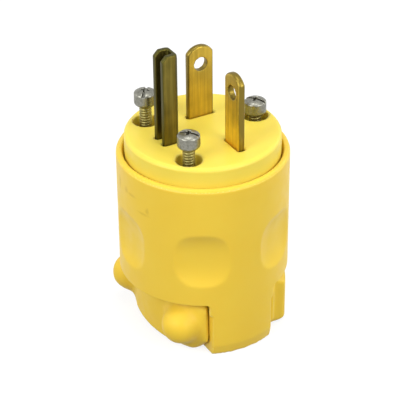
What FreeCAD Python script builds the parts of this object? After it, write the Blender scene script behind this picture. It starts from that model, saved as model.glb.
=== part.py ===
# A three-pin grounding plug for field wiring, 20 A, standing on its cord end with its blades up.
#
# Frame: Z runs up the axis of the round sleeve, and Z = 0 is the surface that the sleeve's two
# feet stand on. +Y goes from the grounding pin to the line of the two power blades, and +X from
# the hot blade to the neutral blade. Lengths are millimetres and angles degrees.
#
# The three long screws in the face are backed out, so the face insert stands out of the sleeve
# and the two cord jaws stand open. Tightening the screws draws the insert down on its seat and
# the jaws up and in.

import FreeCAD, Part
import math
import os
import re
import Sketcher
from FreeCAD import Placement, Rotation, Vector

# Driving dimensions: name, value, what it measures.
SIZES = (
    ("insert_radius", 17.3, "round face insert"),
    ("insert_height", 16.0, "face insert, face to back"),
    ("insert_lift", 4.2, "face above the sleeve's rim"),
    ("insert_gap", 0.5, "play between the insert and the bore of the sleeve"),
    ("insert_bevel", 0.6, "bevel round the edge of the face"),
    ("carrier_height", 4.0, "wire guide behind the insert"),
    ("carrier_gap", 0.2, "how much smaller the guide's radius is than the insert's"),
    ("seal_height", 1.2, "rubber dust seal behind the wire guide"),
    ("seal_hole_radius", 5.5, "hole in the dust seal that grips the cord"),
    ("sleeve_height", 43.3, "rim of the sleeve above its feet"),
    ("sleeve_wall", 1.4, "wall of the sleeve at the rim"),
    ("rim_bevel", 0.55, "bevel round the rim's outer edge"),
    ("lower_wall", 2.1, "wall of the sleeve below the seat, and of its feet"),
    ("window_height", 13.8, "top of the two jaw windows"),
    ("foot_width", 15.2, "width of each foot"),
    ("lip_height", 2.5, "thickness of the lip at the bottom of each foot"),
    ("lip_slope", 0.5, "sloped corner between the foot and its lip"),
    ("cord_radius", 8.6, "largest cord that the entry takes"),
    ("cord_gap", 0.4, "room round the largest cord between the lips"),
    ("bevel_height", 2.6, "bevel round the bottom of the feet"),
    ("bevel_depth", 0.5, "how far the bevel comes in"),
    ("dimple_count", 6, "thumb dimples round the sleeve"),
    ("dimple_turn", -30.0, "direction of the first dimple"),
    ("dimple_height", 25.3, "middle of the dimples"),
    ("dimple_depth", 1.12, "deepest point of a dimple"),
    ("dimple_radius", 20.3, "curve of a dimple up and down"),
    ("blade_width", 6.35, "width of both power blades"),
    ("blade_sheet", 1.52, "thickness of both power blades"),
    ("blade_reach", 17.05, "tip of the power blades above the face"),
    ("blade_tip_radius", 3.75, "arc across the tip of a blade"),
    ("blade_corner_radius", 0.9, "corners where that arc meets the sides"),
    ("blade_bevel", 0.3, "bevel round the edges of the blades"),
    ("blade_hole_radius", 1.59, "hole near the tip of a blade"),
    ("blade_hole_height", 12.7, "middle of that hole above the face"),
    ("blade_line", 2.74, "line of the power blades beyond the axis"),
    ("hot_offset", 6.35, "hot blade from the axis"),
    ("neutral_offset", 9.12, "middle of the neutral blade from the axis"),
    ("pin_offset", 11.4, "middle of the grounding pin from the line of the power blades"),
    ("pin_width", 4.6, "over the two legs of the grounding pin"),
    ("pin_depth", 4.1, "each leg of the pin, front to back"),
    ("pin_sheet", 1.15, "sheet that the pin is folded from"),
    ("pin_fold_radius", 1.7, "outside of the pin's folds"),
    ("pin_reach", 20.9, "tip of the pin above the face"),
    ("pin_open_run", 1.1, "bevel of the pin's tip at its open side, across"),
    ("pin_open_rise", 1.1, "bevel of the pin's tip at its open side, down"),
    ("pin_web_run", 0.55, "bevel of the pin's tip at its web, across"),
    ("pin_web_rise", 1.8, "bevel of the pin's tip at its web, down"),
    ("slot_gap", 0.12, "play round the blades in the insert"),
    ("tail_width", 8.0, "wiring end of each blade, across"),
    ("tail_gap", 0.2, "play between a wiring end and the guide under it"),
    ("pocket_height", 9.6, "wiring pockets above the back of the insert"),
    ("pocket_width", 9.2, "wiring pockets, across"),
    ("pocket_behind", 1.5, "room behind a wiring end for the end of its screw"),
    ("wire_gap", 1.6, "room for the bare wire under a clamp plate"),
    ("wire_hole_radius", 2.1, "wire holes in the guide"),
    ("plate_side", 7.2, "square wire clamp plates"),
    ("plate_sheet", 1.2, "thickness of the clamp plates"),
    ("plate_bevel", 0.4, "bevel round the outer side of a clamp plate"),
    ("plate_play", 0.15, "play of a clamp plate on its screw"),
    ("terminal_head_radius", 2.9, "head of a terminal screw"),
    ("terminal_head_height", 2.1, "head of a terminal screw"),
    ("terminal_shank_radius", 1.4, "shank of a terminal screw"),
    ("terminal_shank_length", 5.2, "shank of a terminal screw"),
    ("terminal_slot_width", 0.8, "driver slot of a terminal screw"),
    ("terminal_slot_depth", 0.9, "driver slot of a terminal screw"),
    ("thread_gap", 0.04, "play between a screw and the hole that is tapped for it"),
    ("screw_circle", 13.3, "long screws from the axis"),
    ("screw_spread", 48.0, "the two screws beside the pin, from the pin's direction"),
    ("screw_radius", 1.4, "long screw, over its thread"),
    ("screw_head_radius", 2.5, "head of a long screw"),
    ("screw_head_height", 3.6, "head of a long screw"),
    ("screw_crown_height", 0.9, "sloped top of that head"),
    ("screw_crown_radius", 1.6, "flat middle of that top"),
    ("screw_slot_width", 0.75, "driver slot of a long screw"),
    ("screw_slot_depth", 1.15, "driver slot of a long screw"),
    ("screw_end_height", 3.5, "end of the rear screw above the surface"),
    ("left_screw_lift", 4.0, "head of the left screw above the face"),
    ("front_screw_lift", 3.0, "head of the front screw above the face"),
    ("rear_screw_lift", 0.5, "head of the rear screw above the face"),
    ("head_gap", 0.4, "room round a screw head in the face"),
    ("head_well_depth", 4.4, "depth of the wells for the screw heads"),
    ("shank_gap", 0.3, "room round the long screws in the holes"),
    ("nut_side", 4.8, "square nut across its flats"),
    ("nut_height", 2.4, "square nut"),
    ("nut_gap", 0.15, "room round a nut in its slot"),
    ("jaw_base", 0.2, "underside of the jaws above the surface"),
    ("jaw_top", 19.5, "top of the jaws"),
    ("jaw_reach", 14.2, "half the width of a jaw"),
    ("jaw_shoulder", 4.6, "inner edge of the jaws beside the cord"),
    ("twin_back", 15.0, "outer middle of the jaw beside the pin"),
    ("twin_flank", 10.9, "outer corners of that jaw"),
    ("single_back", 17.9, "outer middle of the other jaw"),
    ("single_flank", 13.2, "outer corners of that jaw"),
    ("jaw_lip_gap", 0.3, "room between the wings of a jaw and the slope of the lips"),
    ("jaw_wing_back", 9.6, "outer edge of the wings that run in the sleeve's bore"),
    ("jaw_foot_gap", 0.5, "room between that step and a foot"),
    ("cheek_reach", 16.6, "outer edge of a jaw's cheeks, which fill the window beside the feet"),
    ("cheek_edge", 0.6, "flat edge of a cheek towards the foot's corner"),
    ("cheek_root", 12.6, "inner edge of the cheeks, inside the jaw"),
    ("cheek_back", 11.6, "end of the cheeks' slope, inside the jaw"),
    ("jaw_bore_gap", 0.5, "room between a jaw and the sleeve"),
    ("jaw_ramp_rise", 3.2, "height of the ramp that the window's edge rides on"),
    ("jaw_hem", 0.8, "bevel of the lower outer edge of a jaw"),
    ("jaw_corner_radius", 1.4, "upright outer corners of a jaw"),
    ("jaw_slide", 0.9, "how far the jaws can move in past their nuts"),
    ("boss_radius", 4.4, "round bosses of the jaws"),
    ("boss_bevel", 2.6, "bevel round the top and the bottom of a boss"),
    ("boss_height", 7.1, "middle of the bosses and of the nuts in them"),
    ("boss_outset", 3.5, "middle of a boss out from its screw"),
    ("boss_spread", 2.0, "bosses of the twin jaw outside their screws"),
    ("groove_count", 3, "grooves across the gripping face of each jaw"),
    ("groove_pitch", 4.4, "from one groove to the next"),
    ("groove_width", 2.4, "each groove, which leaves a rib between two"),
    ("groove_depth", 0.9, "how far the grooves go into the jaw"),
    ("groove_place", 4.5, "lower edge of the lowest groove"),
    ("screw_end_floor", 2.3, "bottom of the holes for the ends of the long screws"),
)

# Heights and places that follow from the driving dimensions, used in several pieces.
FACE = "(sleeve_height + insert_lift)"
INSERT_BACK = "(sleeve_height + insert_lift - insert_height)"
POCKET_TOP = "(sleeve_height + insert_lift - insert_height + pocket_height)"
CARRIER_BACK = "(sleeve_height + insert_lift - insert_height - carrier_height)"
SEAL_BACK = "(sleeve_height + insert_lift - insert_height - carrier_height - seal_height)"
SEAT = "(sleeve_height - insert_height - carrier_height - seal_height)"
BORE = "(insert_radius + insert_gap)"
RIM_RADIUS = "(insert_radius + insert_gap + sleeve_wall)"
LOWER_BORE = "(insert_radius + insert_gap + sleeve_wall - lower_wall)"
TERMINAL_HEIGHT = "(sleeve_height + insert_lift - insert_height + pocket_height / 2)"
PIN_LINE = "(blade_line - pin_offset)"
PIN_WEB = "(blade_line - pin_offset + pin_depth / 2 - pin_sheet / 2)"
SIDE_SCREW_X = "(screw_circle * sin(screw_spread))"
SIDE_SCREW_Y = "(-screw_circle * cos(screw_spread))"
SCREW_LENGTH = "(sleeve_height + insert_lift + rear_screw_lift - screw_end_height)"
JAW_STEP = "(lip_height + lip_slope + jaw_lip_gap)"
BESIDE_FOOT = "(foot_width / 2 + jaw_foot_gap)"
PAST_SLEEVE = "(insert_radius + insert_gap + 2 * sleeve_wall)"

# Two places nearer than this are the same place.
NEAR = 0.001

doc = FreeCAD.newDocument("GroundingPlug")
sheet = doc.addObject("Spreadsheet::Sheet", "Dimensions")
for row, (alias, value, note) in enumerate(SIZES, start=1):
    sheet.set("A%d" % row, alias)
    sheet.set("B%d" % row, repr(value))
    sheet.set("C%d" % row, note)
    sheet.setAlias("B%d" % row, alias)
doc.recompute()


def bound(text):
    """The expression with each of the sheet's names written out in full."""
    return re.sub(r"[a-z]+(?:_[a-z]+)+", lambda word: "Dimensions." + word.group(0), text)


def number(text):
    """The present value of an expression."""
    return float(sheet.evalExpression(bound(text)))


def piece(label, at=("0", "0", "0"), turn=Rotation()):
    """An empty body with its own name and place."""
    body = doc.addObject("PartDesign::Body", label.title().replace("_", ""))
    body.Label = label
    body.Placement = Placement(Vector(), turn)
    for letter, place in zip("xyz", at):
        body.setExpression(".Placement.Base." + letter, bound(place))
    return body


def sketch(body, name, role="XY_Plane", lift="0"):
    """A sketch on one of the body's own origin planes, moved along its normal."""
    plane = [item for item in body.Origin.OriginFeatures if item.Role == role][0]
    drawing = body.newObject("Sketcher::SketchObject", name)
    drawing.AttachmentSupport = [(plane, "")]
    drawing.MapMode = "FlatFace"
    drawing.setExpression(".AttachmentOffset.Base.z", bound(lift))
    return drawing


def tie(drawing, kind, geometry, point, text):
    """A constraint whose value follows an expression."""
    if kind == "Radius":
        index = drawing.addConstraint(Sketcher.Constraint(kind, geometry, number(text)))
    else:
        index = drawing.addConstraint(Sketcher.Constraint(kind, geometry, point, number(text)))
    drawing.setExpression("Constraints[%d]" % index, bound(text))


def outline(drawing, corners):
    """A closed outline. A corner is (x, y), or (x, y, radius, side) where an arc leaves it
    whose middle lies to the left (side 1) or to the right (side -1) of the way to the next."""
    places = [Vector(number(corner[0]), number(corner[1]), 0) for corner in corners]
    ends = []
    for index, corner in enumerate(corners):
        start = places[index]
        stop = places[(index + 1) % len(places)]
        if len(corner) == 2:
            geometry = drawing.addGeometry(Part.LineSegment(start, stop), False)
            ends.append((geometry, 1, 2))
            continue
        radius = number(corner[2])
        chord = stop - start
        height = math.sqrt(max(radius ** 2 - chord.Length ** 2 / 4, 0.0))
        left = Vector(-chord.y, chord.x, 0).normalize()
        middle = (start + stop) / 2 + left * height * corner[3]
        first, last = (start, stop) if corner[3] > 0 else (stop, start)
        angles = [math.atan2(place.y - middle.y, place.x - middle.x) for place in (first, last)]
        circle = Part.Circle(middle, Vector(0, 0, 1), radius)
        geometry = drawing.addGeometry(Part.ArcOfCircle(circle, angles[0], angles[1]), False)
        ends.append((geometry, 1, 2) if corner[3] > 0 else (geometry, 2, 1))
    for index, corner in enumerate(corners):
        geometry, head, tail = ends[index]
        following = ends[(index + 1) % len(ends)]
        drawing.addConstraint(
            Sketcher.Constraint("Coincident", geometry, tail, following[0], following[1])
        )
        tie(drawing, "DistanceX", geometry, head, corner[0])
        tie(drawing, "DistanceY", geometry, head, corner[1])
        if len(corner) == 4:
            tie(drawing, "Radius", geometry, 0, corner[2])
    return drawing


def rectangle(drawing, left, right, low, high):
    """A rectangle between two x values and two y values."""
    return outline(drawing, ((left, low), (right, low), (right, high), (left, high)))


def circle(drawing, across, up, radius):
    """A circle about a point of the sketch."""
    middle = Vector(number(across), number(up), 0)
    geometry = drawing.addGeometry(Part.Circle(middle, Vector(0, 0, 1), number(radius)), False)
    tie(drawing, "DistanceX", geometry, 3, across)
    tie(drawing, "DistanceY", geometry, 3, up)
    tie(drawing, "Radius", geometry, 0, radius)
    return drawing


def pad(body, drawing, length, middle=False):
    """Material on the sketch's front side, or on both sides where middle is set."""
    feature = body.newObject("PartDesign::Pad", drawing.Name + "Pad")
    feature.Profile = drawing
    feature.setExpression("Length", bound(length))
    feature.Midplane = middle
    return feature


def pocket(body, drawing, length, middle=False, forward=False):
    """A cut on the sketch's back side, in front where forward is set, or on both sides."""
    feature = body.newObject("PartDesign::Pocket", drawing.Name + "Cut")
    feature.Profile = drawing
    feature.setExpression("Length", bound(length))
    feature.Midplane = middle
    feature.Reversed = forward
    return feature


def turned(body, drawing, kind="Revolution"):
    """The sketch turned all the way about its own vertical axis."""
    feature = body.newObject("PartDesign::" + kind, drawing.Name + "Turn")
    feature.Profile = drawing
    feature.ReferenceAxis = (drawing, ["V_Axis"])
    feature.Angle = 360.0
    return feature


def soften(body, base, kind, size, wanted):
    """A fillet or chamfer on the edges of the base feature that wanted picks."""
    doc.recompute()
    names = []
    for index, edge in enumerate(base.Shape.Edges, start=1):
        if wanted(edge):
            names.append("Edge%d" % index)
    feature = body.newObject("PartDesign::" + kind, base.Name + kind)
    feature.Base = (base, names)
    feature.setExpression("Radius" if kind == "Fillet" else "Size", bound(size))
    return feature


def level(edge, height):
    """True where the whole edge lies at one height."""
    box = edge.BoundBox
    return abs(box.ZMin - height) < NEAR and abs(box.ZMax - height) < NEAR


# Moulded outer sleeve: a revolved wall with a seat for the wiring stack, two windows cut up from
# the bottom that leave two feet with inward lips, and six thumb dimples round the middle.
def make_sleeve():
    body = piece("outer_sleeve")
    lip_reach = "(cord_radius + cord_gap)"
    wall = sketch(body, "SleeveWall", "XZ_Plane")
    outline(wall, (
        (lip_reach, "0"),
        (RIM_RADIUS + " - bevel_depth", "0"),
        (RIM_RADIUS, "bevel_height"),
        (RIM_RADIUS, "sleeve_height - rim_bevel"),
        (RIM_RADIUS + " - rim_bevel", "sleeve_height"),
        (BORE, "sleeve_height"),
        (BORE, SEAT),
        (LOWER_BORE, SEAT),
        (LOWER_BORE, "lip_height + lip_slope"),
        (LOWER_BORE + " - lip_slope", "lip_height"),
        (lip_reach, "lip_height"),
    ))
    turned(body, wall)
    for name, side in (("PinWindow", "-"), ("BladeWindow", "")):
        window = sketch(body, name)
        near = side + "foot_width / 2"
        rectangle(window, "-" + PAST_SLEEVE, PAST_SLEEVE, near, side + PAST_SLEEVE)
        pocket(body, window, "window_height", forward=True)
    dimple = pocket(body, dimple_section(body), RIM_RADIUS, middle=True)
    ring = body.newObject("PartDesign::PolarPattern", "Dimples")
    ring.Originals = [dimple]
    ring.Axis = (wall, ["V_Axis"])
    ring.Angle = 360.0
    ring.setExpression("Occurrences", bound("dimple_count"))
    body.Tip = ring
    return body


def dimple_section(body):
    """The round section that presses one dimple: its middle lies far outside the sleeve, and the
    cut runs level across the wall."""
    drawing = sketch(body, "Dimple", "XZ_Plane")
    circle(drawing, RIM_RADIUS + " - dimple_depth + dimple_radius", "dimple_height", "dimple_radius")
    drawing.AttachmentOffset = Placement(Vector(), Rotation(Vector(0, 1, 0), number("dimple_turn")))
    drawing.setExpression(".AttachmentOffset.Rotation.Angle", bound("dimple_turn"))
    return drawing


# The three long screws: name, x and y, how far the head stands off the face, and the way that its
# driver slot points.
SCREWS = (
    ("left", "-" + SIDE_SCREW_X, SIDE_SCREW_Y, "left_screw_lift", -37.0),
    ("front", SIDE_SCREW_X, SIDE_SCREW_Y, "front_screw_lift", 42.0),
    ("rear", "0", "screw_circle", "rear_screw_lift", 35.0),
)


def screw_holes(drawing, radius):
    """A circle at each long screw."""
    for name, across, along, lift, turn in SCREWS:
        circle(drawing, across, along, radius)
    return drawing


def pin_section(drawing, grow):
    """The grounding pin's folded section, open towards -Y, grown by a clearance on all sides."""
    wide = "(pin_width / 2 + %s)" % grow
    low = "(%s - pin_depth / 2 - %s)" % (PIN_LINE, grow)
    high = "(%s + pin_depth / 2 + %s)" % (PIN_LINE, grow)
    fold = "(pin_fold_radius + %s)" % grow
    inner = "(pin_width / 2 - pin_sheet - %s)" % grow
    web = "(%s + pin_depth / 2 - pin_sheet - %s)" % (PIN_LINE, grow)
    inner_fold = "(pin_fold_radius - pin_sheet - %s)" % grow
    return outline(drawing, (
        (wide, low),
        (wide, high + " - " + fold, fold, 1),
        (wide + " - " + fold, high),
        ("-" + wide + " + " + fold, high, fold, 1),
        ("-" + wide, high + " - " + fold),
        ("-" + wide, low),
        ("-" + inner, low),
        ("-" + inner, web + " - " + inner_fold, inner_fold, -1),
        ("-" + inner + " + " + inner_fold, web),
        (inner + " - " + inner_fold, web, inner_fold, -1),
        (inner, web + " - " + inner_fold),
        (inner, low),
    ))


# Moulded face insert: a thick disc with slots for the blades, wells for the screw heads and three
# wiring pockets that open at its side and back.
def make_insert():
    body = piece("face_insert")
    disc = circle(sketch(body, "InsertDisc", lift=INSERT_BACK), "0", "0", "insert_radius")
    block = pad(body, disc, "insert_height")
    body.Tip = soften(body, block, "Chamfer", "insert_bevel", lambda edge: level(edge, number(FACE)))
    wells = screw_holes(sketch(body, "HeadWells", lift=FACE), "screw_head_radius + head_gap")
    pocket(body, wells, "head_well_depth")
    holes = screw_holes(sketch(body, "InsertHoles", lift=FACE), "screw_radius + shank_gap")
    pocket(body, holes, "insert_height")
    depth = "insert_height - pocket_height"
    half_sheet = "(blade_sheet / 2 + slot_gap)"
    half_width = "(blade_width / 2 + slot_gap)"
    slots = sketch(body, "PowerSlots", lift=FACE)
    rectangle(slots, "-hot_offset - " + half_sheet, "-hot_offset + " + half_sheet,
              "blade_line - " + half_width, "blade_line + " + half_width)
    rectangle(slots, "neutral_offset - " + half_width, "neutral_offset + " + half_width,
              "blade_line - " + half_sheet, "blade_line + " + half_sheet)
    pocket(body, slots, depth)
    pocket(body, pin_section(sketch(body, "PinSlot", lift=FACE), "slot_gap"), depth)
    wiring = sketch(body, "WiringPockets", lift=INSERT_BACK)
    outside = "(insert_radius + insert_gap)"
    rectangle(wiring, "-" + outside, "-hot_offset + blade_sheet / 2 + pocket_behind",
              "blade_line - pocket_width / 2", "blade_line + pocket_width / 2")
    rectangle(wiring, "neutral_offset - pocket_width / 2", "neutral_offset + pocket_width / 2",
              "blade_line - blade_sheet / 2 - pocket_behind", outside)
    rectangle(wiring, "-pocket_width / 2", "pocket_width / 2",
              "-" + outside, PIN_WEB + " + pin_sheet / 2 + pocket_behind")
    pocket(body, wiring, "pocket_height", forward=True)
    return body


# Moulded wire guide: closes the wiring pockets from behind, with a hole for each wire.
def make_guide():
    body = piece("wire_guide")
    disc = sketch(body, "GuideDisc", lift=CARRIER_BACK)
    circle(disc, "0", "0", "insert_radius - carrier_gap")
    pad(body, disc, "carrier_height")
    holes = screw_holes(sketch(body, "GuideHoles", lift=CARRIER_BACK), "screw_radius + shank_gap")
    pocket(body, holes, "carrier_height", forward=True)
    wires = sketch(body, "WireHoles", lift=CARRIER_BACK)
    off = "(wire_gap / 2)"
    circle(wires, "-hot_offset - blade_sheet / 2 - " + off, "blade_line", "wire_hole_radius")
    circle(wires, "neutral_offset", "blade_line + blade_sheet / 2 + " + off, "wire_hole_radius")
    circle(wires, "0", PIN_WEB + " - pin_sheet / 2 - " + off, "wire_hole_radius")
    pocket(body, wires, "carrier_height", forward=True)
    return body


# Rubber dust seal: a thin disc behind the wire guide that closes round the cord.
def make_seal():
    body = piece("dust_seal")
    disc = sketch(body, "SealDisc", lift=SEAL_BACK)
    circle(disc, "0", "0", "insert_radius - carrier_gap")
    circle(disc, "0", "0", "seal_hole_radius")
    screw_holes(disc, "screw_radius + shank_gap")
    pad(body, disc, "seal_height")
    return body


# Power blade: stamped from brass strip, with a rounded tip, the round hole that a receptacle's
# contact can catch, and a wider wiring end with a tapped hole. Its shoulders stop in the insert.
def make_blade(label, role, lift, middle):
    body = piece(label)
    tip_drop = "(blade_tip_radius - sqrt(blade_tip_radius^2 - blade_width^2 / 4))"
    shoulder = FACE + " + blade_reach - " + tip_drop
    word = label.title().replace("_", "")
    strip = sketch(body, word + "Strip", role, lift)
    outline(strip, (
        (middle + " - blade_width / 2", POCKET_TOP),
        (middle + " + blade_width / 2", POCKET_TOP),
        (middle + " + blade_width / 2", shoulder, "blade_tip_radius", 1),
        (middle + " - blade_width / 2", shoulder),
    ))
    circle(strip, middle, FACE + " + blade_hole_height", "blade_hole_radius")
    blank = pad(body, strip, "blade_sheet", middle=True)
    sheet_size = number("blade_sheet")
    top = number(shoulder)

    def tip_corner(edge):
        return level(edge, top) and abs(edge.Length - sheet_size) < NEAR

    cornered = soften(body, blank, "Fillet", "blade_corner_radius", tip_corner)
    foot = number(POCKET_TOP)

    def face_edge(edge):
        across = min(edge.BoundBox.XLength, edge.BoundBox.YLength)
        return across < NEAR and edge.BoundBox.ZMax > foot + NEAR and not edge.isClosed()

    body.Tip = soften(body, cornered, "Chamfer", "blade_bevel", face_edge)
    tail = sketch(body, word + "Tail", role, lift)
    rectangle(tail, middle + " - tail_width / 2", middle + " + tail_width / 2",
              INSERT_BACK + " + tail_gap", POCKET_TOP)
    circle(tail, middle, TERMINAL_HEIGHT, "terminal_shank_radius + thread_gap")
    pad(body, tail, "blade_sheet", middle=True)
    return body


# Grounding pin: brass sheet folded to a channel that is open towards -Y, longer than the blades
# so that it makes contact first, with its web carried down as the wiring end.
def make_pin():
    body = piece("ground_pin")
    channel = pin_section(sketch(body, "PinChannel", lift=POCKET_TOP), "0")
    pad(body, channel, "%s + pin_reach - %s" % (FACE, POCKET_TOP))
    tip = FACE + " + pin_reach"
    for name, sign, run, rise in (
        ("PinOpenTip", "-", "pin_open_run", "pin_open_rise"),
        ("PinWebTip", "+", "pin_web_run", "pin_web_rise"),
    ):
        corner = sketch(body, name, "YZ_Plane")
        edge = "%s %s pin_depth / 2" % (PIN_LINE, sign)
        inward = "%s %s (pin_depth / 2 - %s)" % (PIN_LINE, sign, run)
        outline(corner, ((edge, "%s - %s" % (tip, rise)), (edge, tip), (inward, tip)))
        pocket(body, corner, "pin_width", middle=True)
    tail = sketch(body, "PinTail", "XZ_Plane", "-" + PIN_WEB)
    rectangle(tail, "-tail_width / 2", "tail_width / 2", INSERT_BACK + " + tail_gap", POCKET_TOP)
    circle(tail, "0", TERMINAL_HEIGHT, "terminal_shank_radius + thread_gap")
    pad(body, tail, "pin_sheet", middle=True)
    return body


# The three wiring ends: name, place of the plate's underside, and the turn from +Z to the way out
# of the pocket.
UPRIGHT = Vector(0, 0, 1)
TERMINALS = (
    ("hot", ("-hot_offset - blade_sheet / 2 - wire_gap", "blade_line", TERMINAL_HEIGHT),
     Rotation(UPRIGHT, Vector(-1, 0, 0))),
    ("neutral", ("neutral_offset", "blade_line + blade_sheet / 2 + wire_gap", TERMINAL_HEIGHT),
     Rotation(UPRIGHT, Vector(0, 1, 0))),
    ("ground", ("0", PIN_WEB + " - pin_sheet / 2 - wire_gap", TERMINAL_HEIGHT),
     Rotation(UPRIGHT, Vector(0, -1, 0))),
)


# Square clamp plate that presses the bare wire on the wiring end.
def make_plate(name, place, turn):
    body = piece(name + "_clamp_plate", place, turn)
    square = sketch(body, name.title() + "Plate")
    rectangle(square, "-plate_side / 2", "plate_side / 2", "-plate_side / 2", "plate_side / 2")
    circle(square, "0", "0", "terminal_shank_radius + plate_play")
    plate = pad(body, square, "plate_sheet")
    sheet_height = number("plate_sheet")

    def outer_side(edge):
        return level(edge, sheet_height) and not edge.isClosed()

    body.Tip = soften(body, plate, "Chamfer", "plate_bevel", outer_side)
    return body


# Terminal screw: flat slotted head on the plate, shank through the plate and the wiring end.
def make_terminal_screw(name, place, turn):
    body = piece(name + "_terminal_screw", place, turn)
    profile = sketch(body, name.title() + "TerminalScrew", "XZ_Plane")
    top = "(plate_sheet + terminal_head_height)"
    outline(profile, (
        ("0", "plate_sheet - terminal_shank_length"),
        ("terminal_shank_radius", "plate_sheet - terminal_shank_length"),
        ("terminal_shank_radius", "plate_sheet"),
        ("terminal_head_radius", "plate_sheet"),
        ("terminal_head_radius", top),
        ("0", top),
    ))
    turned(body, profile)
    slot = sketch(body, name.title() + "TerminalSlot", lift=top)
    rectangle(slot, "-terminal_head_radius", "terminal_head_radius",
              "-terminal_slot_width / 2", "terminal_slot_width / 2")
    pocket(body, slot, "terminal_slot_depth")
    return body


# Long screw from the face to a jaw's nut: crowned head with a driver slot, and a shank threaded
# all the way, drawn as a plain cylinder over its thread.
def make_long_screw(name, across, along, lift, turn):
    body = piece(name + "_long_screw", (across, along, FACE + " + " + lift), Rotation(turn, 0, 0))
    profile = sketch(body, name.title() + "LongScrew", "XZ_Plane")
    outline(profile, (
        ("0", "-" + SCREW_LENGTH),
        ("screw_radius", "-" + SCREW_LENGTH),
        ("screw_radius", "0"),
        ("screw_head_radius", "0"),
        ("screw_head_radius", "screw_head_height - screw_crown_height"),
        ("screw_crown_radius", "screw_head_height"),
        ("0", "screw_head_height"),
    ))
    turned(body, profile)
    slot = sketch(body, name.title() + "DriverSlot", lift="screw_head_height")
    half_slot = "screw_slot_width / 2"
    rectangle(slot, "-screw_head_radius", "screw_head_radius", "-" + half_slot, half_slot)
    pocket(body, slot, "screw_slot_depth")
    return body


# Square nut held in a jaw's boss.
def make_nut(name, across, along):
    body = piece(name + "_clamp_nut", (across, along, "boss_height - nut_height / 2"))
    square = sketch(body, name.title() + "Nut")
    rectangle(square, "-nut_side / 2", "nut_side / 2", "-nut_side / 2", "nut_side / 2")
    circle(square, "0", "0", "screw_radius + thread_gap")
    pad(body, square, "nut_height")
    return body


def notch_corners(grow):
    """The corners of a jaw's notch: three flats round the largest cord, moved out by grow."""
    deep = "(cord_radius + %s)" % grow
    side = "(%s * sqrt(2) - jaw_shoulder)" % deep
    flat = "(%s * sqrt(2) - %s)" % (deep, deep)
    return (
        ("-" + side, "jaw_shoulder"),
        ("-" + flat, deep),
        (flat, deep),
        (side, "jaw_shoulder"),
    )


def add_boss(body, name, across, along):
    """A round boss with bevelled ends that stands out of a jaw round a nut."""
    section = sketch(body, name, "XZ_Plane", "-(%s)" % along)
    section.setExpression(".AttachmentOffset.Base.x", bound(across))
    low = "(boss_height - boss_radius)"
    high = "(boss_height + boss_radius)"
    outline(section, (
        ("0", low),
        ("boss_radius - boss_bevel", low),
        ("boss_radius", low + " + boss_bevel"),
        ("boss_radius", high + " - boss_bevel"),
        ("boss_radius - boss_bevel", high),
        ("0", high),
    ))
    turned(body, section)


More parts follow.
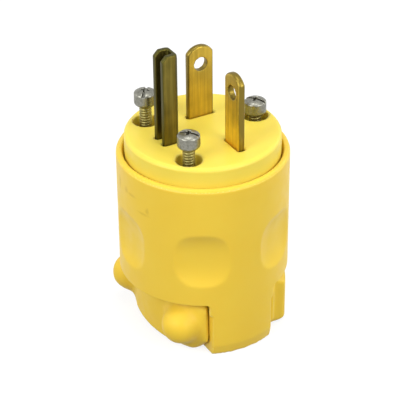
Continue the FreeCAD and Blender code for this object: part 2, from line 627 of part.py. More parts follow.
# Moulded cord jaw: a curved block in one of the sleeve's windows. The grooved notch in its inner
# face centres and grips the cord, its ramped back rides on the window's edge, and each round boss
# holds a long screw's nut in a slot that lets the jaw slide in. The jaw is modelled towards +Y and
# turned to its side.
def make_jaw(label, turn, back, flank, seats):
    body = piece(label, turn=turn)
    word = label.title().replace("_", "")
    rise = "(%s - %s)" % (back, flank)
    plan = sketch(body, word + "Plan", lift="jaw_base")
    outline(plan, (
        ("jaw_reach", "jaw_shoulder"),
        ("jaw_reach", flank, "(jaw_reach^2 + %s^2) / (2 * %s)" % (rise, rise), 1),
        ("-jaw_reach", flank),
        ("-jaw_reach", "jaw_shoulder"),
    ) + notch_corners("0"))
    block = pad(body, plan, "jaw_top - jaw_base")
    reach = number("jaw_reach")
    depth = number(flank)

    def outer_corner(edge):
        box = edge.BoundBox
        upright = box.XLength < NEAR and box.YLength < NEAR
        return upright and abs(abs(box.XMin) - reach) < NEAR and abs(box.YMin - depth) < NEAR

    corners = soften(body, block, "Fillet", "jaw_corner_radius", outer_corner)
    base = number("jaw_base")
    corner = depth - number("jaw_corner_radius")

    def hem(edge):
        return level(edge, base) and edge.BoundBox.YMax > corner + NEAR

    body.Tip = soften(body, corners, "Chamfer", "jaw_hem", hem)
    step = sketch(body, word + "Step", lift="jaw_base")
    beside = "(jaw_reach + jaw_foot_gap)"
    rectangle(step, "-" + beside, beside, "0", BESIDE_FOOT)
    pocket(body, step, JAW_STEP + " - jaw_base", forward=True)
    inside = "(%s - jaw_bore_gap)" % LOWER_BORE
    wings = sketch(body, word + "Wings", lift=JAW_STEP)
    low_reach = "sqrt(%s^2 - jaw_shoulder^2)" % inside
    high_reach = "sqrt(%s^2 - jaw_wing_back^2)" % inside
    outline(wings, (
        (low_reach, "jaw_shoulder", inside, 1),
        (high_reach, "jaw_wing_back"),
        ("-" + high_reach, "jaw_wing_back", inside, 1),
        ("-" + low_reach, "jaw_shoulder"),
    ) + notch_corners("0"))
    pad(body, wings, "jaw_top - " + JAW_STEP)
    cheeks = sketch(body, word + "Cheeks", lift=JAW_STEP)
    for side in ("", "-"):
        outline(cheeks, (
            (side + "cheek_root", BESIDE_FOOT),
            (side + "cheek_reach", BESIDE_FOOT),
            (side + "cheek_reach", BESIDE_FOOT + " + cheek_edge"),
            (side + "cheek_root", "cheek_back"),
        ))
    pad(body, cheeks, "jaw_top - " + JAW_STEP)
    ramp = sketch(body, word + "Ramp", "XZ_Plane")
    ledge = "(window_height - jaw_bore_gap)"
    above = "jaw_top + jaw_ramp_rise"
    outline(ramp, (
        (inside, ledge),
        (inside + " + jaw_ramp_rise", ledge + " - jaw_ramp_rise"),
        (PAST_SLEEVE + " + jaw_ramp_rise", ledge + " - jaw_ramp_rise"),
        (PAST_SLEEVE + " + jaw_ramp_rise", above),
        (inside, above),
    ))
    turned(body, ramp, "Groove")
    tooth = sketch(body, word + "Groove", lift="groove_place")
    outline(tooth, notch_corners("groove_depth"))
    cut = pocket(body, tooth, "groove_width", forward=True)
    ribs = body.newObject("PartDesign::LinearPattern", word + "Grooves")
    ribs.Originals = [cut]
    ribs.Direction = (tooth, ["N_Axis"])
    ribs.setExpression("Length", bound("groove_pitch * (groove_count - 1)"))
    ribs.setExpression("Occurrences", bound("groove_count"))
    body.Tip = ribs
    for index, (across, along, spread) in enumerate(seats):
        add_boss(body, "%sBoss%d" % (word, index), across + spread, along + " + boss_outset")
    wide = "(nut_side / 2 + nut_gap)"
    room = "(screw_radius + nut_gap)"
    for index, (across, along, spread) in enumerate(seats):
        nest = sketch(body, "%sNest%d" % (word, index), lift="boss_height - nut_height / 2 - nut_gap")
        rectangle(nest, across + " - " + wide, across + " + " + wide,
                  "0", along + " + jaw_slide + " + wide)
        pocket(body, nest, "nut_height + 2 * nut_gap", forward=True)
        way = sketch(body, "%sWay%d" % (word, index), lift="screw_end_floor")
        rectangle(way, across + " - " + room, across + " + " + room,
                  along + " - " + room, along + " + jaw_slide + " + room)
        pocket(body, way, "jaw_top", forward=True)
    return body


PIECES = [make_sleeve(), make_insert(), make_guide(), make_seal()]
PIECES.append(make_blade("hot_blade", "YZ_Plane", "-hot_offset", "blade_line"))
PIECES.append(make_blade("neutral_blade", "XZ_Plane", "-blade_line", "neutral_offset"))
PIECES.append(make_pin())
for terminal in TERMINALS:
    PIECES.append(make_plate(*terminal))
    PIECES.append(make_terminal_screw(*terminal))
for screw in SCREWS:
    PIECES.append(make_long_screw(*screw))
    PIECES.append(make_nut(*screw[:3]))
# The twin jaw is turned half round, so its seats are given on the side that it is modelled on.
TWIN_SEATS = (
    (SIDE_SCREW_X, "(screw_circle * cos(screw_spread))", " + boss_spread"),
    ("-" + SIDE_SCREW_X, "(screw_circle * cos(screw_spread))", " - boss_spread"),
)
HALF_TURN = Rotation(180, 0, 0)
PIECES.append(make_jaw("twin_jaw", HALF_TURN, "twin_back", "twin_flank", TWIN_SEATS))
SINGLE_SEATS = (("0", "screw_circle", ""),)
PIECES.append(make_jaw("single_jaw", Rotation(), "single_back", "single_flank", SINGLE_SEATS))

doc.recompute()
for item in doc.Objects:
    if "Invalid" in item.State or "Error" in item.State:
        raise RuntimeError("%s did not build: %s" % (item.Name, item.State))
    if item.isDerivedFrom("PartDesign::Feature") and len(item.Shape.Solids) != 1:
        raise RuntimeError("%s does not leave one solid" % item.Name)

os.makedirs("parts", exist_ok=True)
for body in PIECES:
    shape = body.Shape
    if shape.isNull() or not shape.isValid() or len(shape.Solids) != 1:
        raise RuntimeError("%s is not one valid solid" % body.Label)
    shape.exportStep("parts/%s.step" % body.Label)
    print(body.Label, len(shape.Solids), round(shape.Volume, 1), shape.BoundBox)
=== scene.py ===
import math
from functools import partial

import bmesh
import bpy
import numpy as np
from mathutils import Matrix, Vector


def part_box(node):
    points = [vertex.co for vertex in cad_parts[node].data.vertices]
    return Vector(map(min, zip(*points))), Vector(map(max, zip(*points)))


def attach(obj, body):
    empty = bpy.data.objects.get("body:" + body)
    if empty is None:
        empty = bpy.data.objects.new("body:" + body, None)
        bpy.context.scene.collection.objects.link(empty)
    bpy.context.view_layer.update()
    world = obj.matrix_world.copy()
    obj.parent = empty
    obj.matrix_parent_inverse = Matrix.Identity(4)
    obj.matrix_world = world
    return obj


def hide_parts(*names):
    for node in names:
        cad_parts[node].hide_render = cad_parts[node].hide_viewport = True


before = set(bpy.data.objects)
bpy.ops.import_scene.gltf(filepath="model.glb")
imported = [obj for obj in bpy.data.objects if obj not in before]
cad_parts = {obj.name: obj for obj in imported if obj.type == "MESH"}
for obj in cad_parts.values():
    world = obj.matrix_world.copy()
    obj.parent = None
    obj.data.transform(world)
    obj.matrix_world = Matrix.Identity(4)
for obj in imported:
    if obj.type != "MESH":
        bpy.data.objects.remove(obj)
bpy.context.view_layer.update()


# Outer sleeve: the round grip body, injection moulded in yellow PVC, with six thumb dimples, two
# feet and soft moulded edges. It slips over the wiring stack from the cord's side and is held by
# the long screws.

# Lengths are in mm up to the studio's section, and MM turns them into Blender's metres.
MM = 0.001
SLEEVE_CELL = 0.34
SLEEVE_PASSES = 6
BLEND_PASSES = 180
BLEND_LEVELS = 10
WELD_REACH = 0.001
WALL_REACH = 0.07
SKIN_REACH = 0.09
SLEEVE_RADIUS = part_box("outer_sleeve")[1].y / MM
SLEEVE_BORES = (17.8, 17.4, 17.1, 9.0)
HEM_HEIGHT = 2.6
HEM_DEPTH = 0.5
DIMPLE_FIRST = math.radians(-30.0)
DIMPLE_STEP = math.radians(60.0)
DIMPLE_HEIGHT = 25.3
DIMPLE_DEPTH = 1.25
DIMPLE_HALF = 6.6
DIMPLE_ASIDE = math.radians(18.6)
DIMPLE_SQUARE = 2.7
DIMPLE_POWER = 2.7
DIMPLE_ZONE = (10.6, 34.9)
DIMPLE_SLACK = 0.4
BAND_STEPS = 128
BAND_CORNERS = ((17.4, 21.8), (17.95, 21.8), (17.95, 42.7), (17.4, 41.9))
PVC_YELLOW = "#ECCA45"
PVC_DEEP = "#E6C03A"
# The paler colour of the edges: partly rubbing, partly a painted highlight.
PVC_WORN_AND_HIGHLIGHT = "#F2DF78"
SLEEVE_ROUGHNESS = 0.4
# The sink range, in cells, over which the sleeve's edges turn paler: rubbing and a painted highlight.
SLEEVE_EDGE_WEAR_AND_HIGHLIGHT = (0.09, 0.27)
PVC_CLOUD = 11.0
PVC_WAVE = 5.0
PVC_SHEEN = 2.2
PVC_GRAIN = 0.3
PVC_IOR = 1.53
PVC_SHINE = 0.25
PVC_GLOW = 0.12
PVC_GLOW_DEPTH = 1.2
PVC_GLOW_COLOURS = (1.0, 0.6, 0.15)
SCUFF_BROWN = "#C09A30"
SCUFF_BREAK = 0.7
SCUFF_RAGGED = 1.6
SCUFF_DULL = 0.2

# The faint scuffs on the side towards the front screw, each with its middle and its half sizes.
SLEEVE_RUBS = (
    ((-3.2, -18.9, 38.4), (0.6, 1.2, 1.7)),
    ((0.2, -19.2, 38.0), (0.8, 1.2, 0.8)),
    ((2.2, -19.1, 37.7), (1.7, 1.2, 0.4)),
    ((6.2, -18.2, 34.6), (1.9, 1.2, 0.35)),
    ((7.2, -17.8, 35.6), (0.5, 1.2, 0.8)),
)


def settle(piece):
    """Gives the piece the mesh that its modifiers make, and takes the modifiers off."""
    graph = bpy.context.evaluated_depsgraph_get()
    finished = bpy.data.meshes.new_from_object(piece.evaluated_get(graph))
    piece.modifiers.clear()
    piece.data = finished


def place_mesh(name, mesh):
    """A new object from a bmesh."""
    data = bpy.data.meshes.new(name)
    mesh.to_mesh(data)
    mesh.free()
    piece = bpy.data.objects.new(name, data)
    bpy.context.scene.collection.objects.link(piece)
    return piece


def smooth_faces(piece):
    """Shades all faces of the piece smooth."""
    piece.data.polygons.foreach_set("use_smooth", [True] * len(piece.data.polygons))
    piece.data.update()


def coat(piece, *materials):
    """Gives the piece these materials in place of any that it has."""
    piece.data.materials.clear()
    for material in materials:
        piece.data.materials.append(material)


def draw_cells(piece, cell, passes, true_form, blend=None):
    """Draws the piece's solid again in small cells, puts the points that lie near a curved surface
    back on it, and eases the edges as a mould does. How far each point sank, in cells, is kept as
    its wear_and_highlight, which the material turns into rubbing and a painted highlight on the
    edges. The blend gives each point a share from 0 to 1 in which the forms there run into each
    other."""
    cells = piece.modifiers.new("cells", "REMESH")
    cells.mode = "VOXEL"
    cells.voxel_size = cell * MM
    cells.adaptivity = 0.0
    settle(piece)
    points = np.zeros(len(piece.data.vertices) * 3)
    piece.data.vertices.foreach_get("co", points)
    points = true_form(points.reshape(-1, 3) / MM)
    piece.data.vertices.foreach_set("co", (points * MM).ravel())
    ease = piece.modifiers.new("ease", "SMOOTH")
    ease.factor = 0.5
    ease.iterations = passes
    settle(piece)
    eased = np.zeros(points.size)
    piece.data.vertices.foreach_get("co", eased)
    normals = np.zeros(points.size)
    piece.data.vertex_normals.foreach_get("vector", normals)
    moved = points - eased.reshape(-1, 3) / MM
    # How far each point sank, kept for the paler edges: rubbing and a painted highlight.
    wear_and_highlight = piece.data.attributes.new("wear_and_highlight", "FLOAT", "POINT")
    wear_and_highlight.data.foreach_set("value", (moved * normals.reshape(-1, 3)).sum(axis=1) / cell)
    if blend:
        shares = blend(points)
        soft = piece.vertex_groups.new(name="soft")
        for step in range(1, BLEND_LEVELS + 1):
            level = step / BLEND_LEVELS
            held = np.nonzero(shares > level - 0.5 / BLEND_LEVELS)[0]
            soft.add(held.tolist(), level, "REPLACE")
        melt = piece.modifiers.new("melt", "SMOOTH")
        melt.factor = 0.5
        melt.iterations = BLEND_PASSES
        melt.vertex_group = soft.name
        settle(piece)
        piece.vertex_groups.clear()
    smooth_faces(piece)


def moulded(name, node, cell, passes, true_form, additions=None, blend=None):
    """A fine, soft-edged piece that stands for a CAD node and keeps its form."""
    mesh = bmesh.new()
    mesh.from_mesh(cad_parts[node].data)
    bmesh.ops.remove_doubles(mesh, verts=mesh.verts, dist=WELD_REACH * MM)
    if additions:
        additions(mesh)
    piece = place_mesh(name, mesh)
    draw_cells(piece, cell, passes, true_form, blend)
    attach(piece, "root")
    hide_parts(node)
    return piece


def to_radius(points, middle, axes, radius, reach=WALL_REACH):
    """Moves the points that lie near a round wall on to it. The axes are the two across it."""
    across = points[:, axes] - np.array(middle)
    distance = np.hypot(across[:, 0], across[:, 1])
    near = np.abs(distance - radius) < reach
    grow = (np.broadcast_to(radius, distance.shape)[near] / distance[near])[:, None]
    moved = points.copy()
    moved[np.ix_(near, axes)] = across[near] * grow + np.array(middle)
    return moved


def sleeve_form(points):
    """The sleeve's turned walls, its hem and its pressed dimples, whose outline is a rounded square
    and whose floors fall from it to a shallow middle."""
    turn = np.arctan2(points[:, 1], points[:, 0]) - DIMPLE_FIRST
    aside = turn - np.round(turn / DIMPLE_STEP) * DIMPLE_STEP
    rise = np.abs(points[:, 2] - DIMPLE_HEIGHT) / DIMPLE_HALF
    across = np.abs(aside) / DIMPLE_ASIDE
    out = (rise ** DIMPLE_SQUARE + across ** DIMPLE_SQUARE) ** (1 / DIMPLE_SQUARE)
    depth = 1 - np.clip(out, 0, 1) ** DIMPLE_POWER
    hem = SLEEVE_RADIUS - HEM_DEPTH * np.clip(1 - points[:, 2] / HEM_HEIGHT, 0, 1)
    outside = np.minimum(hem, SLEEVE_RADIUS - DIMPLE_DEPTH * depth)
    distance = np.hypot(points[:, 0], points[:, 1])
    skin = distance > SLEEVE_RADIUS - DIMPLE_DEPTH - DIMPLE_SLACK
    skin &= (points[:, 2] > DIMPLE_ZONE[0]) & (points[:, 2] < DIMPLE_ZONE[1])
    scale = np.where(skin, outside / distance, 1.0)[:, None]
    points = np.hstack((points[:, :2] * scale, points[:, 2:]))
    points = to_radius(points, (0, 0), [0, 1], outside, SKIN_REACH)
    for bore in SLEEVE_BORES:
        points = to_radius(points, (0, 0), [0, 1], bore)
    return points


def add_node(tree, kind, sockets=None, **settings):
    """Adds a shader node. Each socket is named or numbered, and gets a value or another output."""
    node = tree.nodes.new("ShaderNode" + kind)
    for name, value in settings.items():
        setattr(node, name, value)
    for name, value in (sockets or {}).items():
        if isinstance(value, bpy.types.NodeSocket):
            tree.links.new(value, node.inputs[name])
        else:
            node.inputs[name].default_value = value
    return node


def linear(hex_colour):
    """An sRGB hex colour as linear values."""
    values = [int(hex_colour[start:start + 2], 16) / 255 for start in (1, 3, 5)]
    return [v / 12.92 if v <= 0.04045 else ((v + 0.055) / 1.055) ** 2.4 for v in values] + [1.0]


def start_material(name):
    """A material with its node tree, its Principled shader, and its object's place in mm."""
    material = bpy.data.materials.new(name)
    material.use_nodes = True
    tree = material.node_tree
    shader = tree.nodes["Principled BSDF"]
    place = add_node(tree, "TexCoord")
    scaled = add_node(tree, "VectorMath", {0: place.outputs["Object"], "Scale": 1 / MM},
                      operation="SCALE")
    return material, tree, shader, scaled.outputs["Vector"]


def moulded_pvc(name, plain, deep, worn_and_highlight, roughness, wear_and_highlight, rubs=()):
    """Moulded yellow PVC: an even colour with faint clouds from the melt, and a satin skin. A little
    light goes under the skin and keeps the shadows warm. The edges are drawn paler between two values
    of their wear_and_highlight, which is partly rubbing and partly a painted highlight, and a brown,
    broken scuff lies at each rub. The mould's real grain is near 0.05 mm. It is drawn at PVC_GRAIN so
    that it shows."""
    material, tree, shader, place = start_material(name)
    cloud = add_node(tree, "TexNoise", {"Vector": place, "Scale": 1 / PVC_CLOUD, "Detail": 3.0})
    colour = add_node(tree, "Mix", {0: cloud.outputs["Fac"], 6: linear(plain), 7: linear(deep)},
                      data_type="RGBA")
    edge = add_node(tree, "Attribute", attribute_name="wear_and_highlight")
    # The edges grow paler: partly rubbing, partly a painted highlight.
    rubbed_and_highlighted = add_node(tree, "MapRange", {"Value": edge.outputs["Fac"], "From Min": wear_and_highlight[0],
                                         "From Max": wear_and_highlight[1], "To Max": 0.9})
    lighter = add_node(tree, "Mix", {0: rubbed_and_highlighted.outputs[0], 6: colour.outputs[2], 7: linear(worn_and_highlight)},
                       data_type="RGBA")
    broken = add_node(tree, "TexNoise", {"Vector": place, "Scale": 1 / SCUFF_BREAK, "Detail": 3.0})
    marks = add_node(tree, "Math", {0: 0.0, 1: 0.0}, operation="ADD")
    for middle, half_sizes in rubs:
        offset = add_node(tree, "VectorMath", {0: place, 1: middle}, operation="SUBTRACT")
        fitted = add_node(tree, "VectorMath", {0: offset.outputs[0], 1: half_sizes},
                          operation="DIVIDE")
        reach = add_node(tree, "VectorMath", {0: fitted.outputs[0]}, operation="LENGTH")
        ragged = add_node(tree, "Math", {0: broken.outputs["Fac"], 1: SCUFF_RAGGED,
                                         2: reach.outputs["Value"]}, operation="MULTIPLY_ADD")
        mark = add_node(tree, "MapRange", {"Value": ragged.outputs[0], "From Min": 2.1,
                                           "From Max": 1.0, "To Max": 0.38})
        marks = add_node(tree, "Math", {0: marks.outputs[0], 1: mark.outputs[0]}, operation="MAXIMUM")
    scuffed = add_node(tree, "Mix", {0: marks.outputs[0], 6: lighter.outputs[2],
                                     7: linear(SCUFF_BROWN)}, data_type="RGBA")
    tree.links.new(scuffed.outputs[2], shader.inputs["Base Color"])
    sheen = add_node(tree, "TexNoise", {"Vector": place, "Scale": 1 / PVC_SHEEN, "Detail": 4.0})
    gloss = add_node(tree, "MapRange", {"Value": sheen.outputs["Fac"], "From Min": 0.3,
                                        "From Max": 0.7, "To Min": roughness - 0.06,
                                        "To Max": roughness + 0.08})
    rough = add_node(tree, "Math", {0: marks.outputs[0], 1: SCUFF_DULL, 2: gloss.outputs[0]},
                     operation="MULTIPLY_ADD")
    tree.links.new(rough.outputs[0], shader.inputs["Roughness"])
    grain = add_node(tree, "TexNoise", {"Vector": place, "Scale": 1 / PVC_GRAIN, "Detail": 2.0})
    wave = add_node(tree, "TexNoise", {"Vector": place, "Scale": 1 / PVC_WAVE, "Detail": 1.0})
    fine = add_node(tree, "Bump", {"Height": grain.outputs["Fac"], "Strength": 0.25,
                                   "Distance": 0.02 * MM})
    broad = add_node(tree, "Bump", {"Height": wave.outputs["Fac"], "Strength": 0.4,
                                    "Distance": 0.12 * MM, "Normal": fine.outputs[0]})
    cut = add_node(tree, "Bump", {"Height": marks.outputs[0], "Strength": 0.5,
                                  "Distance": 0.03 * MM, "Normal": broad.outputs[0]}, invert=True)
    tree.links.new(cut.outputs[0], shader.inputs["Normal"])
    shader.inputs["IOR"].default_value = PVC_IOR
    shader.inputs["Specular IOR Level"].default_value = PVC_SHINE
    shader.inputs["Subsurface Weight"].default_value = PVC_GLOW
    shader.inputs["Subsurface Radius"].default_value = PVC_GLOW_COLOURS
    shader.inputs["Subsurface Scale"].default_value = PVC_GLOW_DEPTH * MM
    return material


def ring_point(mesh, radius, turn, height):
    """A new point of the mesh at this radius and height, turned by this share of a full turn."""
    angle = turn * math.tau
    return mesh.verts.new(Vector((radius * math.cos(angle), radius * math.sin(angle), height)) * MM)


def join_rings(mesh, low, high):
    """Adds the faces between two rings with the same number of points."""
    for step in range(len(low)):
        following = (step + 1) % len(low)
        mesh.faces.new((low[step], low[following], high[following], high[step]))


def add_band(mesh):
    """A band inside the bore, given by the radius and height of its corners. It makes the wall
    behind the dimples thick enough for the cells, and closes the sleeve round the insert up to a
    lead-in at the rim."""
    rings = [
        [ring_point(mesh, radius, step / BAND_STEPS, height) for step in range(BAND_STEPS)]
        for radius, height in BAND_CORNERS
    ]
    for ring, following in zip(rings, rings[1:] + rings[:1]):
        join_rings(mesh, ring, following)


sleeve = moulded("sleeve_shell", "outer_sleeve", SLEEVE_CELL, SLEEVE_PASSES, sleeve_form, add_band)
coat(sleeve, moulded_pvc("satin_yellow_pvc", PVC_YELLOW, PVC_DEEP, PVC_WORN_AND_HIGHLIGHT, SLEEVE_ROUGHNESS,
                         SLEEVE_EDGE_WEAR_AND_HIGHLIGHT, SLEEVE_RUBS))


# Face insert: the thick round front that carries the blades, moulded in the same yellow PVC, a
# little paler, with a well for each screw head and a slot for each blade. It sits in the sleeve's
# mouth, and the long screws hold it there.
INSERT_CELL = 0.27
INSERT_PASSES = 5
INSERT_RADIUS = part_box("face_insert")[1].x / MM
WELL_RADIUS = 2.9
SCREW_NAMES = ("left_long_screw", "front_long_screw", "rear_long_screw")
FACE_YELLOW = "#EDD857"
FACE_DEEP = "#E7CE4C"
FACE_ROUGHNESS = 0.4


def middle_of(node):
    """The middle of a CAD node's box, in mm."""
    low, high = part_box(node)
    return (low + high) / 2 / MM


def insert_form(points):
    """The insert's round side and the round walls of its screw wells."""
    points = to_radius(points, (0, 0), [0, 1], INSERT_RADIUS)
    for screw in SCREW_NAMES:
        points = to_radius(points, middle_of(screw).xy, [0, 1], WELL_RADIUS)
    return points


insert = moulded("front_insert", "face_insert", INSERT_CELL, INSERT_PASSES, insert_form)
coat(insert, moulded_pvc("satin_face_pvc", FACE_YELLOW, FACE_DEEP, PVC_WORN_AND_HIGHLIGHT, FACE_ROUGHNESS,
                         SLEEVE_EDGE_WEAR_AND_HIGHLIGHT))


# Power blades: stamped from brass strip with a rounded tip, bevelled edges and a round hole, and
# set in the insert's slots. The strip is brushed along its length and darker where it has
# tarnished. The hot blade's brass is browner than the neutral blade's.
BLADE_CELL = 0.17
BLADE_PASSES = 3
HOLE_RADIUS = 1.59
HOLE_HEIGHT = 60.2
BRASS_DARK = "#7E6C2E"
BLADE_ROUGHNESS = 0.36
BLADE_TARNISH = 0.5
BRUSH_WIDTH = 0.35
BRUSH_LENGTH = 14.0
TARNISH_PATCH = 5.0

# Each blade's node, the two axes across its hole, the way that its flats face, and its brass.
BLADES = (
    ("hot_blade", [1, 2], (1, 0, 0), "#C4A540"),
    ("neutral_blade", [0, 2], (0, 1, 0), "#EBC953"),
)


def brushed_brass(name, plain, dark, roughness, tarnish, flat_way):
    """Brass strip: drawn and brushed lengthways, so fine streaks run up it, with darker patches of
    tarnish. The sheared edges, which face away from the flat way, get painted shade and are darkest.
    Real brush lines are near 0.05 mm wide. They are drawn BRUSH_WIDTH wide so that they show."""
    material, tree, shader, place = start_material(name)
    surface = add_node(tree, "TexCoord")
    along = add_node(tree, "VectorMath", {0: place, 1: (1 / BRUSH_WIDTH, 1 / BRUSH_WIDTH,
                                                        1 / BRUSH_LENGTH)}, operation="MULTIPLY")
    brush = add_node(tree, "TexNoise", {"Vector": along.outputs[0], "Scale": 1.0, "Detail": 3.0})
    patch = add_node(tree, "TexNoise", {"Vector": place, "Scale": 1 / TARNISH_PATCH, "Detail": 3.0})
    mixed = add_node(tree, "Math", {0: brush.outputs["Fac"], 1: patch.outputs["Fac"]},
                     operation="ADD")
    dull = add_node(tree, "MapRange", {"Value": mixed.outputs[0], "From Min": 0.8, "From Max": 1.25,
                                       "To Max": tarnish})
    facing = add_node(tree, "VectorMath", {0: surface.outputs["Normal"], 1: flat_way},
                      operation="DOT_PRODUCT")
    flatness = add_node(tree, "Math", {0: facing.outputs["Value"]}, operation="ABSOLUTE")
    # Painted shade on the edges that face away from the flat way.
    rim = add_node(tree, "MapRange", {"Value": flatness.outputs[0], "From Min": 0.98,
                                      "From Max": 0.8, "To Max": 0.9})
    both = add_node(tree, "Math", {0: dull.outputs[0], 1: rim.outputs[0]}, operation="ADD",
                    use_clamp=True)
    colour = add_node(tree, "Mix", {0: both.outputs[0], 6: linear(plain), 7: linear(dark)},
                      data_type="RGBA")
    tree.links.new(colour.outputs[2], shader.inputs["Base Color"])
    gloss = add_node(tree, "MapRange", {"Value": brush.outputs["Fac"], "From Min": 0.3,
                                        "From Max": 0.7, "To Min": roughness - 0.07,
                                        "To Max": roughness + 0.1})
    tree.links.new(gloss.outputs[0], shader.inputs["Roughness"])
    lines = add_node(tree, "Bump", {"Height": brush.outputs["Fac"], "Strength": 0.35,
                                    "Distance": 0.03 * MM})
    tree.links.new(lines.outputs[0], shader.inputs["Normal"])
    shader.inputs["Metallic"].default_value = 1.0
    return material


for node, axes, flat_way, brass in BLADES:
    hole = (middle_of(node)[axes[0]], HOLE_HEIGHT)
    hole_form = partial(to_radius, middle=hole, axes=axes, radius=HOLE_RADIUS)
    blade = moulded(node + "_strip", node, BLADE_CELL, BLADE_PASSES, hole_form)
    coat(blade, brushed_brass("brushed_brass_" + node, brass, BRASS_DARK, BLADE_ROUGHNESS,
                              BLADE_TARNISH, flat_way))


# Grounding pin: brass sheet folded to a channel and set in the insert like the blades. It is left
# as rolled, so it is darker and duller than they are.
PIN_BRASS = "#7F7134"
PIN_DARK = "#4E4A20"
PIN_ROUGHNESS = 0.42
PIN_TARNISH = 0.6


def as_drawn(points):
    """The points as they are, where a piece has no round wall that shows."""
    return points


pin = moulded("ground_pin_channel", "ground_pin", BLADE_CELL, BLADE_PASSES, as_drawn)
coat(pin, brushed_brass("rolled_brass", PIN_BRASS, PIN_DARK, PIN_ROUGHNESS, PIN_TARNISH, (1, 0, 0)))


# Long screws: plated steel machine screws with a domed head, a driver slot crossed by a recess,
# and a rolled thread all the way down. They run from the face to the nuts in the cord jaws.
HEAD_RADIUS = 2.5
HEAD_HEIGHT = 3.6
HEAD_BAND = 2.65
HEAD_ROUND = 0.7
HEAD_CELL = 0.085
HEAD_PASSES = 3
HEAD_STEPS = 64
SLOT_WIDTH = 0.65
SLOT_REACH = 3.5
SLOT_DEPTH = 0.9
CROSS_WIDTH = 0.6
CROSS_REACH = 1.25
CROSS_FLOOR = 0.75
CROSS_DEPTH = 1.1
CUTTER_TOP = 4.1
SHANK_RADIUS = 1.38
SHANK_STEPS = 24
THREAD_PITCH = 0.635
THREAD_DEPTH = 0.12
THREAD_STEPS = 8
THREAD_CREST = 1.25
SCREW_TURNS = {"left_long_screw": -37.0, "front_long_screw": 42.0, "rear_long_screw": 35.0}
STEEL = "#8E8D83"
STEEL_DARK = "#56554A"
HEAD_ROUGHNESS = 0.24
# The thread's colours are tinted yellow: a painted reflection of the yellow well round it.
THREAD_STEEL_REFLECTING_YELLOW = "#9A9159"
THREAD_DARK_REFLECTING_YELLOW = "#4E4A2C"
THREAD_ROUGHNESS = 0.34
PLATING_SPANGLE = 0.5


def turned_mesh(profile, steps):
    """A closed turned solid from (radius, height) points that start and end on the axis."""
    mesh = bmesh.new()
    rings = [
        [ring_point(mesh, radius, step / steps, height) for step in range(steps)]
        for radius, height in profile[1:-1]
    ]
    first = mesh.verts.new(Vector((0, 0, profile[0][1])) * MM)
    last = mesh.verts.new(Vector((0, 0, profile[-1][1])) * MM)
    for step in range(steps):
        following = (step + 1) % steps
        mesh.faces.new((first, rings[0][following], rings[0][step]))
        mesh.faces.new((rings[-1][step], rings[-1][following], last))
    for low, high in zip(rings, rings[1:]):
        join_rings(mesh, low, high)
    return mesh


def wedge(name, width, top_reach, floor_reach, low, high, turn):
    """A cutter that is as wide as a driver's wing and narrows towards its floor."""
    mesh = bmesh.new()
    corners = [(-floor_reach, low), (floor_reach, low), (top_reach, high), (-top_reach, high)]
    sides = [
        [mesh.verts.new(Vector((x, y, z)) * MM) for x, z in corners]
        for y in (-width / 2, width / 2)
    ]
    mesh.faces.new(sides[0])
    mesh.faces.new(sides[1][::-1])
    for start in range(4):
        stop = (start + 1) % 4
        mesh.faces.new((sides[0][stop], sides[0][start], sides[1][start], sides[1][stop]))
    bmesh.ops.rotate(mesh, verts=mesh.verts, matrix=Matrix.Rotation(math.radians(turn), 3, "Z"))
    bmesh.ops.recalc_face_normals(mesh, faces=mesh.faces)
    return place_mesh(name, mesh)


def head_mesh():
    """The domed head with its slot and its cross recess."""
    band = [(0, 0)] + [
        (HEAD_RADIUS - HEAD_ROUND * (1 - math.sin(math.radians(angle))),
         HEAD_ROUND * (1 - math.cos(math.radians(angle))))
        for angle in range(0, 91, 15)
    ]
    rise = HEAD_HEIGHT - HEAD_BAND
    dome = [
        (HEAD_RADIUS * math.cos(math.radians(angle)), HEAD_BAND + rise * math.sin(math.radians(angle)))
        for angle in range(8, 90, 8)
    ]
    head = place_mesh("head", turned_mesh(band + dome + [(0, HEAD_HEIGHT)], HEAD_STEPS))
    slot_floor = HEAD_HEIGHT - SLOT_DEPTH
    cross_floor = HEAD_HEIGHT - CROSS_DEPTH
    cutters = [
        wedge("slot", SLOT_WIDTH, SLOT_REACH, SLOT_REACH, slot_floor, CUTTER_TOP, 0),
        wedge("cross", CROSS_WIDTH, CROSS_REACH, CROSS_FLOOR, cross_floor, CUTTER_TOP, 0),
        wedge("cross", CROSS_WIDTH, CROSS_REACH, CROSS_FLOOR, cross_floor, CUTTER_TOP, 90),
    ]
    for cutter in cutters:
        cut = head.modifiers.new("cut", "BOOLEAN")
        cut.object = cutter
        cut.operation = "DIFFERENCE"
        cut.solver = "EXACT"
    settle(head)
    for cutter in cutters:
        bpy.data.objects.remove(cutter)
    draw_cells(head, HEAD_CELL, HEAD_PASSES, as_drawn)
    data = head.data
    bpy.data.objects.remove(head)
    return data


def threaded_shank(mesh, length):
    """Adds the threaded shank below the head: a helix of ridges on a round core. The pitch is the
    real one, but a real thread is near 0.39 mm deep. It is drawn THREAD_DEPTH deep, since at this
    size a full one looks coarser than the real screw does."""
    rows = int(length / THREAD_PITCH * THREAD_STEPS)
    rings = []
    for row in range(rows + 1):
        height = -length * row / rows
        fade = min(1.0, (length + height) / THREAD_PITCH)
        ring = []
        for step in range(SHANK_STEPS):
            turn = step / SHANK_STEPS
            share = (height / THREAD_PITCH - turn) % 1.0
            ridge = 1.0 - abs(2.0 * share - 1.0)
            radius = SHANK_RADIUS - THREAD_DEPTH * (1.0 - min(1.0, ridge * THREAD_CREST) * fade)
            ring.append(ring_point(mesh, radius, turn, height))
        rings.append(ring)
    for high, low in zip(rings, rings[1:]):
        join_rings(mesh, low, high)
    mesh.faces.new(rings[0])
    mesh.faces.new(rings[-1][::-1])


